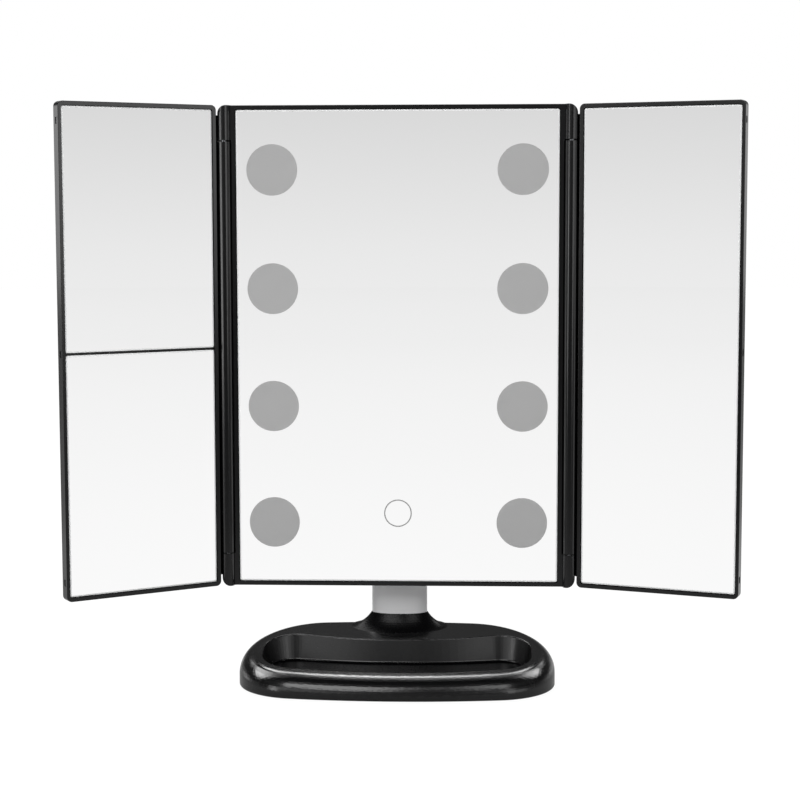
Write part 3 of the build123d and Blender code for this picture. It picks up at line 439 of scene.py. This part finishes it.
def blasted_aluminium():
    """Bead-blasted anodised aluminium tube: a broad soft sheen over a very fine speckle.

    The blasted oxide scatters most of the light, so it is only partly metallic.
    """
    look = bpy.context.scene.mirror_finish
    return material_named("Anodised aluminium blasted", grained, look.metal_colour, (0.50, 0.62), 0.5 * MM,
                          0.012 * MM, {"Metallic": 0.3}, detail=5.0)


def plain(name):
    """Finish of a fixing or a hidden piece, from the list above."""
    colour, roughness, size, depth, metallic = PLAIN_FINISHES[name]
    ends = (roughness - ROUGHNESS_SPREAD, roughness + ROUGHNESS_SPREAD)
    return material_named(name, grained, colour, ends, size * MM, depth * MM, {"Metallic": metallic})


def silver(tree):
    """Shader of a clean mirror that takes almost nothing from the light."""
    return add_node(tree, "ShaderNodeBsdfPrincipled", {
        "Base Color": linear("#fefefe"), "Metallic": 1.0, "Roughness": 0.0})


def silvered_glass():
    """Silvered float glass: a clean flat reflection."""
    return material_named("Silvered float glass", silver)


# --- operators ----------------------------------------------------------------------------

class MIRROR_OT_base(bpy.types.Operator):
    """Finish the base, its tray, ballast, cover and pad"""
    bl_idname = "vanity_mirror.base"
    bl_label = "Base"

    def execute(self, context):
        drafted_base()
        dress(blasted_abs(), "tray_floor")
        dress(textured_abs(), "bottom_cover")
        dress(plain("EVA foam rubber"), "anti_slip_pad")
        dress(plain("Hot-rolled steel"), "ballast_plate", "post_clamp_plate")
        dress(plain("Zinc-plated steel"), "base_screws", "post_bolts")
        return {"FINISHED"}


class MIRROR_OT_post(bpy.types.Operator):
    """Finish the post and the tilt joint"""
    bl_idname = "vanity_mirror.post"
    bl_label = "Post and tilt joint"

    def execute(self, context):
        dress(blasted_aluminium(), "post_sleeve")
        dress(plain("Die-cast zinc"), "post_core")
        dress(plain("Cold-rolled steel"), "tilt_bracket", "tilt_pin")
        dress(plain("Zinc-plated steel"), "tilt_nut", "bracket_screws")
        dress(plain("Nylon moulded"), "tilt_friction_washers")
        return {"FINISHED"}


class MIRROR_OT_head(bpy.types.Operator):
    """Finish the centre panel, its covers and fixings"""
    bl_idname = "vanity_mirror.head"
    bl_label = "Centre panel"

    def execute(self, context):
        dress(gloss_abs(), "centre_frame", "power_switch_knob")
        dress(textured_abs(), "centre_back_cover", "battery_lid")
        dress(plain("Nylon black moulded"), "power_switch_body")
        dress(plain("Blackened steel"), "cover_screws")
        dress(plain("Nickel plating"), "power_inlet", "battery_contacts")
        dress(plain("Ground steel pin"), "left_wing_hinge_pins", "right_wing_hinge_pins")
        dress(plain("Foam tape"), "centre_mirror_tape")
        dress(plain("Copper-clad film"), "touch_sensor")
        dress(plain("Printed cell wrap"), "battery_cells")
        dress(plain("Glass-epoxy laminate"), "left_led_board", "right_led_board", "control_board")
        dress(plain("Phosphor gel"), "led_chips")
        dress(plain("Polyester ribbon"), "ribbon_cables")
        return {"FINISHED"}


class MIRROR_OT_side_mirrors(bpy.types.Operator):
    """Finish the frames, covers and bushes of both side mirrors"""
    bl_idname = "vanity_mirror.side_mirrors"
    bl_label = "Side mirrors"

    def execute(self, context):
        for side in ("left", "right"):
            dress(gloss_abs(), f"{side}_wing_frame", f"{side}_wing_back_cover")
            dress(plain("Foam tape"), f"{side}_wing_mirror_tape")
            dress(plain("Nylon moulded"), f"{side}_wing_hinge_bushes")
        return {"FINISHED"}


class MIRROR_OT_glass(bpy.types.Operator):
    """Finish the mirrors, the lamp lenses and the touch ring"""
    bl_idname = "vanity_mirror.glass"
    bl_label = "Glass and lamps"

    def execute(self, context):
        for node, body in (("centre_mirror", "head"), ("left_upper_mirror", "left_wing"),
                           ("left_lower_mirror", "left_wing"), ("right_mirror", "right_wing")):
            ground_sheet(node, body)
        dress(opal_lens(), "lamp_lenses")
        dress(ring_ink(), "touch_ring")
        return {"FINISHED"}


# --- studio -------------------------------------------------------------------------------

FLOOR_RADIUS = 6.0                     # metres
FLOOR_SIDES = 96
PICTURE_WIDTH = 800                    # pixels that the focal length is counted in
SENSOR_WIDTH = 36.0                    # millimetres, as a lens's length is

# Brightness that a mirror shows by the slope of the ray it throws, from steeply down to up.
MIRROR_SKY = ((-0.25, "#fafafa"), (-0.13, "#f6f6f6"), (-0.02, "#eaeaea"), (0.06, "#d9d9d9"),
              (0.14, "#8c8c8c"), (0.35, "#6a6a6a"), (0.58, "#6a6a6a"), (0.62, "#ffffff"),
              (0.84, "#ffffff"), (0.90, "#6a6a6a"))
# Slopes between which the ceiling's glow sets in.
CEILING_EDGE = (0.58, 0.62)
# Brightness of the floor in a mirror, by distance from the object in metres. Within 13 cm of the object it is
# darker: a painted shadow of the base.
MIRROR_FLOOR_AND_SHADOW = ((0.0, "#b4b4b4"), (0.08, "#dcdcdc"), (0.13, "#fbfbfb"), (1.0, "#f6f6f6"),
                (2.9, "#efefef"), (FLOOR_RADIUS, "#ebebeb"))
# Darker room that softer sheens show, which keeps black plastic black between its highlights: its sky by
# slope, and its walls and upright light panels by compass direction in degrees from straight in front,
# positive to the right, and by slope.
SHEEN_SKY = ((-0.25, 0.09), (0.0, 0.08), (0.3, 0.08), (0.5, 0.12), (0.62, 0.2), (0.8, 0.08), (1.0, 0.03))
SHEEN_WALLS = ((-180, 0.02), (-150, 0.03), (-134, 0.2), (-117, 0.95), (-100, 0.2), (-75, 0.10),
               (-48, 0.10), (-37, 0.20), (-28, 0.07), (-8, 0.07), (15, 0.03), (40, 0.10), (50, 0.7),
               (60, 0.8), (70, 0.12), (100, 0.12), (125, 0.4), (138, 0.6), (152, 0.2), (180, 0.02))
WALL_HEIGHT = ((-0.30, 0.2), (-0.10, 0.5), (0.0, 0.8), (0.08, 1.0), (0.14, 0.5), (0.25, 0.0))
SHEEN_PANELS = ((-60, 0.0), (-40, 0.5), (-20, 0.5), (-9, 0.07), (13, 0.03), (20, 0.45), (35, 0.45),
                (50, 0.0))
PANEL_HEIGHT = ((0.08, 0.0), (0.15, 1.0), (0.32, 1.0), (0.45, 0.0))
# Brightness of the walls and panels where both their values are 1.
WALL_LIGHT = 2.6
# Brightness of the floor in softer sheens, by distance, and its gain from 5 to 25 cm behind the object.
# Within 12 cm of the object it is darker: a painted shadow.
SHEEN_FLOOR_AND_SHADOW = ((0.0, "#5a5a5a"), (0.12, "#c0c0c0"), (0.30, "#a8a8a8"), (0.8, "#707070"),
               (2.0, "#5a5a5a"), (FLOOR_RADIUS, "#585858"))
REAR_GAIN = {"From Min": 0.05, "From Max": 0.25, "To Min": 1.0, "To Max": 2.6}
# To the camera the floor is this share of even white, which grows a little with the distance in metres so
# that only the floor near the base keeps a shadow. The rest is lit paper.
WHITE_SHARE = 0.88
WHITE_GAIN = {"From Min": 0.15, "From Max": 0.5, "To Min": 1.08, "To Max": 1.14}

# Softboxes: name, azimuth in degrees from straight in front of the object and positive to the right,
# distance, height, height of the point that it faces, width, length, the setting of its radiance and its
# share of that.
SOFTBOXES = (
    ("front_left", -20, 1.2, 0.98, 0.2, 0.7, 0.62, "front_light", 1.0),
    ("front_right", 26, 1.2, 0.98, 0.2, 0.5, 0.62, "front_light", 0.6),
    ("rear_softbox", -150, 0.8, 1.4, 0.2, 1.0, 0.7, "rear_light", 1.0),
    ("rear_left", -138, 1.2, 1.1, 0.3, 0.35, 0.5, "rear_light", 1.0),
    ("rear_right", 142, 1.2, 1.1, 0.3, 0.35, 0.5, "rear_light", 1.0),
    ("side_left", -50, 2.0, 0.25, 0.25, 0.45, 0.5, "side_light", 1.0),
    ("side_right", 38, 2.0, 0.25, 0.25, 0.45, 0.5, "side_light", 0.5),
)


def ramp(tree, value, steps, low, high):
    """Colour ramp whose stops are given in the value's own units."""
    share = add_node(tree, "ShaderNodeMapRange", {"Value": value, "From Min": low, "From Max": high})
    node = add_node(tree, "ShaderNodeValToRGB", {"Fac": share.outputs[0]})
    stops = node.color_ramp.elements
    while len(stops) < len(steps):
        stops.new(0.5)
    for stop, (place, code) in zip(stops, steps):
        stop.position = (place - low) / (high - low)
        stop.color = linear(code) if isinstance(code, str) else (code, code, code, 1.0)
    return node.outputs["Color"]


def by_ray(tree, seen, mirrored, sheen, rest):
    """Shader that differs by what meets it: the camera, a clear mirror, a softer sheen or anything else."""
    path = add_node(tree, "ShaderNodeLightPath")
    shiny = add_node(tree, "ShaderNodeMixShader", {
        0: path.outputs["Is Singular Ray"], 1: sheen.outputs[0], 2: mirrored.outputs[0]})
    lit = add_node(tree, "ShaderNodeMixShader", {
        0: path.outputs["Is Glossy Ray"], 1: rest.outputs[0], 2: shiny.outputs[0]})
    return add_node(tree, "ShaderNodeMixShader", {
        0: path.outputs["Is Camera Ray"], 1: lit.outputs[0], 2: seen.outputs[0]})


def make_world(fill, glow):
    """White to the camera, a soft gradient to shiny surfaces, and even fill for everything else."""
    world = bpy.data.worlds.new("studio")
    bpy.context.scene.world = world
    world.use_nodes = True
    tree = world.node_tree
    tree.nodes.clear()
    place = add_node(tree, "ShaderNodeTexCoord")
    parts = add_node(tree, "ShaderNodeSeparateXYZ", {"Vector": place.outputs["Generated"]})
    slope = parts.outputs["Z"]
    behind = add_node(tree, "ShaderNodeMath", {0: parts.outputs["Y"], 1: -1.0}, operation="MULTIPLY")
    compass = add_node(tree, "ShaderNodeMath", {0: parts.outputs["X"], 1: behind.outputs[0]},
                       operation="ARCTAN2")
    degrees = add_node(tree, "ShaderNodeMath", {0: compass.outputs[0]}, operation="DEGREES")

    def by_slope(steps):
        return ramp(tree, slope, steps, -1.0, 1.0)

    def by_compass(steps):
        return ramp(tree, degrees.outputs[0], steps, -180.0, 180.0)

    ceiling = add_node(tree, "ShaderNodeMapRange", {
        "Value": slope, "From Min": CEILING_EDGE[0], "From Max": CEILING_EDGE[1],
        "To Min": 1.0, "To Max": glow})
    clear = add_node(tree, "ShaderNodeBackground", {
        "Color": by_slope(MIRROR_SKY), "Strength": ceiling.outputs[0]})
    walls = add_node(tree, "ShaderNodeVectorMath", {
        0: by_compass(SHEEN_WALLS), 1: by_slope(WALL_HEIGHT)}, operation="MULTIPLY")
    panels = add_node(tree, "ShaderNodeVectorMath", {
        0: by_compass(SHEEN_PANELS), 1: by_slope(PANEL_HEIGHT), 2: walls.outputs[0]},
        operation="MULTIPLY_ADD")
    bright = add_node(tree, "ShaderNodeVectorMath", {
        0: panels.outputs[0], 1: (WALL_LIGHT,) * 3, 2: by_slope(SHEEN_SKY)},
        operation="MULTIPLY_ADD")
    sheen = add_node(tree, "ShaderNodeBackground", {"Color": bright.outputs[0]})
    even = add_node(tree, "ShaderNodeBackground", {"Color": (1, 1, 1, 1), "Strength": fill})
    white = add_node(tree, "ShaderNodeBackground", {"Color": (1, 1, 1, 1)})
    shader = by_ray(tree, white, clear, sheen, even)
    add_node(tree, "ShaderNodeOutputWorld", {"Surface": shader.outputs[0]})


def paper(tree):
    """Shader of the floor: even white to the camera with a light contact shadow, graded in reflections, which
    show a painted shadow near the object.
    """
    place = add_node(tree, "ShaderNodeTexCoord")
    parts = add_node(tree, "ShaderNodeSeparateXYZ", {"Vector": place.outputs["Object"]})
    away = add_node(tree, "ShaderNodeVectorMath", {0: place.outputs["Object"]}, operation="LENGTH")
    distance = away.outputs["Value"]
    # Mirrors see the floor as emission, with a painted shadow near the object.
    clear = add_node(tree, "ShaderNodeEmission", {
        "Color": ramp(tree, distance, MIRROR_FLOOR_AND_SHADOW, 0.0, FLOOR_RADIUS)})
    rear = add_node(tree, "ShaderNodeMapRange", {"Value": parts.outputs["Y"], **REAR_GAIN})
    # Softer sheens also see the floor darker near the object: a painted shadow.
    sheen = add_node(tree, "ShaderNodeEmission", {
        "Color": ramp(tree, distance, SHEEN_FLOOR_AND_SHADOW, 0.0, FLOOR_RADIUS), "Strength": rear.outputs[0]})
    matt = add_node(tree, "ShaderNodeBsdfDiffuse", {"Color": linear("#f6f6f6")})
    even = add_node(tree, "ShaderNodeMapRange", {"Value": distance, **WHITE_GAIN})
    white = add_node(tree, "ShaderNodeEmission", {"Color": (1, 1, 1, 1), "Strength": even.outputs[0]})
    soft = add_node(tree, "ShaderNodeMixShader", {0: WHITE_SHARE, 1: matt.outputs[0], 2: white.outputs[0]})
    return by_ray(tree, soft, clear, sheen, matt)


def softbox(name, place, target, width, length, radiance):
    """Rectangular lamp that faces a point."""
    lamp = bpy.data.lights.new(name, "AREA")
    lamp.shape = "RECTANGLE"
    lamp.size = width
    lamp.size_y = length
    lamp.energy = radiance * pi * width * length
    holder = bpy.data.objects.new(name, lamp)
    turn = (Vector(target) - Vector(place)).to_track_quat("-Z", "Y")
    holder.matrix_world = Matrix.Translation(place) @ turn.to_matrix().to_4x4()
    holder.visible_camera = False
    bpy.context.scene.collection.objects.link(holder)


def around(azimuth, distance, height):
    """Point at an azimuth from straight in front of the object, positive to the right."""
    return (distance * sin(radians(azimuth)), -distance * cos(radians(azimuth)), height)


def aim_camera(studio):
    """Camera at the place and the angles of the settings, with everything in focus."""
    camera = bpy.data.cameras.new("view")
    camera.sensor_width = SENSOR_WIDTH
    camera.lens = studio.focal_pixels / PICTURE_WIDTH * SENSOR_WIDTH
    holder = bpy.data.objects.new("view", camera)
    pitch, yaw, roll = studio.camera_pitch, studio.camera_yaw, studio.camera_roll
    ahead = Vector((sin(yaw) * cos(pitch), cos(yaw) * cos(pitch), -sin(pitch)))
    right = Vector((cos(yaw), -sin(yaw), 0))
    up = right.cross(ahead)
    leaned = cos(roll) * right + sin(roll) * up
    upward = cos(roll) * up - sin(roll) * right
    turn = Matrix((leaned, upward, -ahead)).transposed().to_4x4()
    holder.matrix_world = Matrix.Translation(studio.camera_place) @ turn
    bpy.context.scene.collection.objects.link(holder)
    bpy.context.scene.camera = holder


class MIRROR_OT_studio(bpy.types.Operator):
    """Set the floor, the lights and the camera"""
    bl_idname = "vanity_mirror.studio"
    bl_label = "Studio"

    def execute(self, context):
        studio = context.scene.mirror_studio
        make_world(studio.fill, studio.glow)
        bm = bmesh.new()
        bmesh.ops.create_circle(bm, cap_ends=True, radius=FLOOR_RADIUS, segments=FLOOR_SIDES)
        floor = object_from("studio_floor", bm, [material_named("White studio paper", paper)])
        for name, azimuth, distance, height, aim, width, length, light, share in SOFTBOXES:
            softbox(name, around(azimuth, distance, height), (0, 0, aim), width, length,
                    getattr(studio, light) * share)
        aim_camera(studio)
        context.scene.view_settings.view_transform = "Standard"
        return {"FINISHED"}


# --- sidebar and registration -------------------------------------------------------------

SETTINGS = {"mirror_base": MirrorBaseSettings, "mirror_glass": MirrorGlassSettings,
            "mirror_finish": MirrorFinishSettings, "mirror_studio": MirrorStudioSettings}
STEPS = (MIRROR_OT_studio, MIRROR_OT_base, MIRROR_OT_post, MIRROR_OT_head, MIRROR_OT_side_mirrors,
         MIRROR_OT_glass)


class MIRROR_PT_panel(bpy.types.Panel):
    """Sidebar panel with the mirror's steps and settings"""
    bl_idname = "MIRROR_PT_panel"
    bl_label = "Trifold Vanity Mirror"
    bl_space_type = "VIEW_3D"
    bl_region_type = "UI"
    bl_category = "Vanity Mirror"

    def draw(self, context):
        for step in STEPS:
            self.layout.operator(step.bl_idname)
        for group_name in SETTINGS:
            group = getattr(context.scene, group_name)
            box = self.layout.box()
            for name in group.__annotations__:
                box.prop(group, name)


CLASSES = (*SETTINGS.values(), *STEPS, MIRROR_PT_panel)


def register():
    for kind in CLASSES:
        bpy.utils.register_class(kind)
    for name, kind in SETTINGS.items():
        setattr(bpy.types.Scene, name, bpy.props.PointerProperty(type=kind))


def unregister():
    for name in SETTINGS:
        delattr(bpy.types.Scene, name)
    for kind in reversed(CLASSES):
        bpy.utils.unregister_class(kind)


def main():
    register()
    for step in STEPS:
        group, name = step.bl_idname.split(".")
        getattr(getattr(bpy.ops, group), name)()


if __name__ == "__main__":
    main()
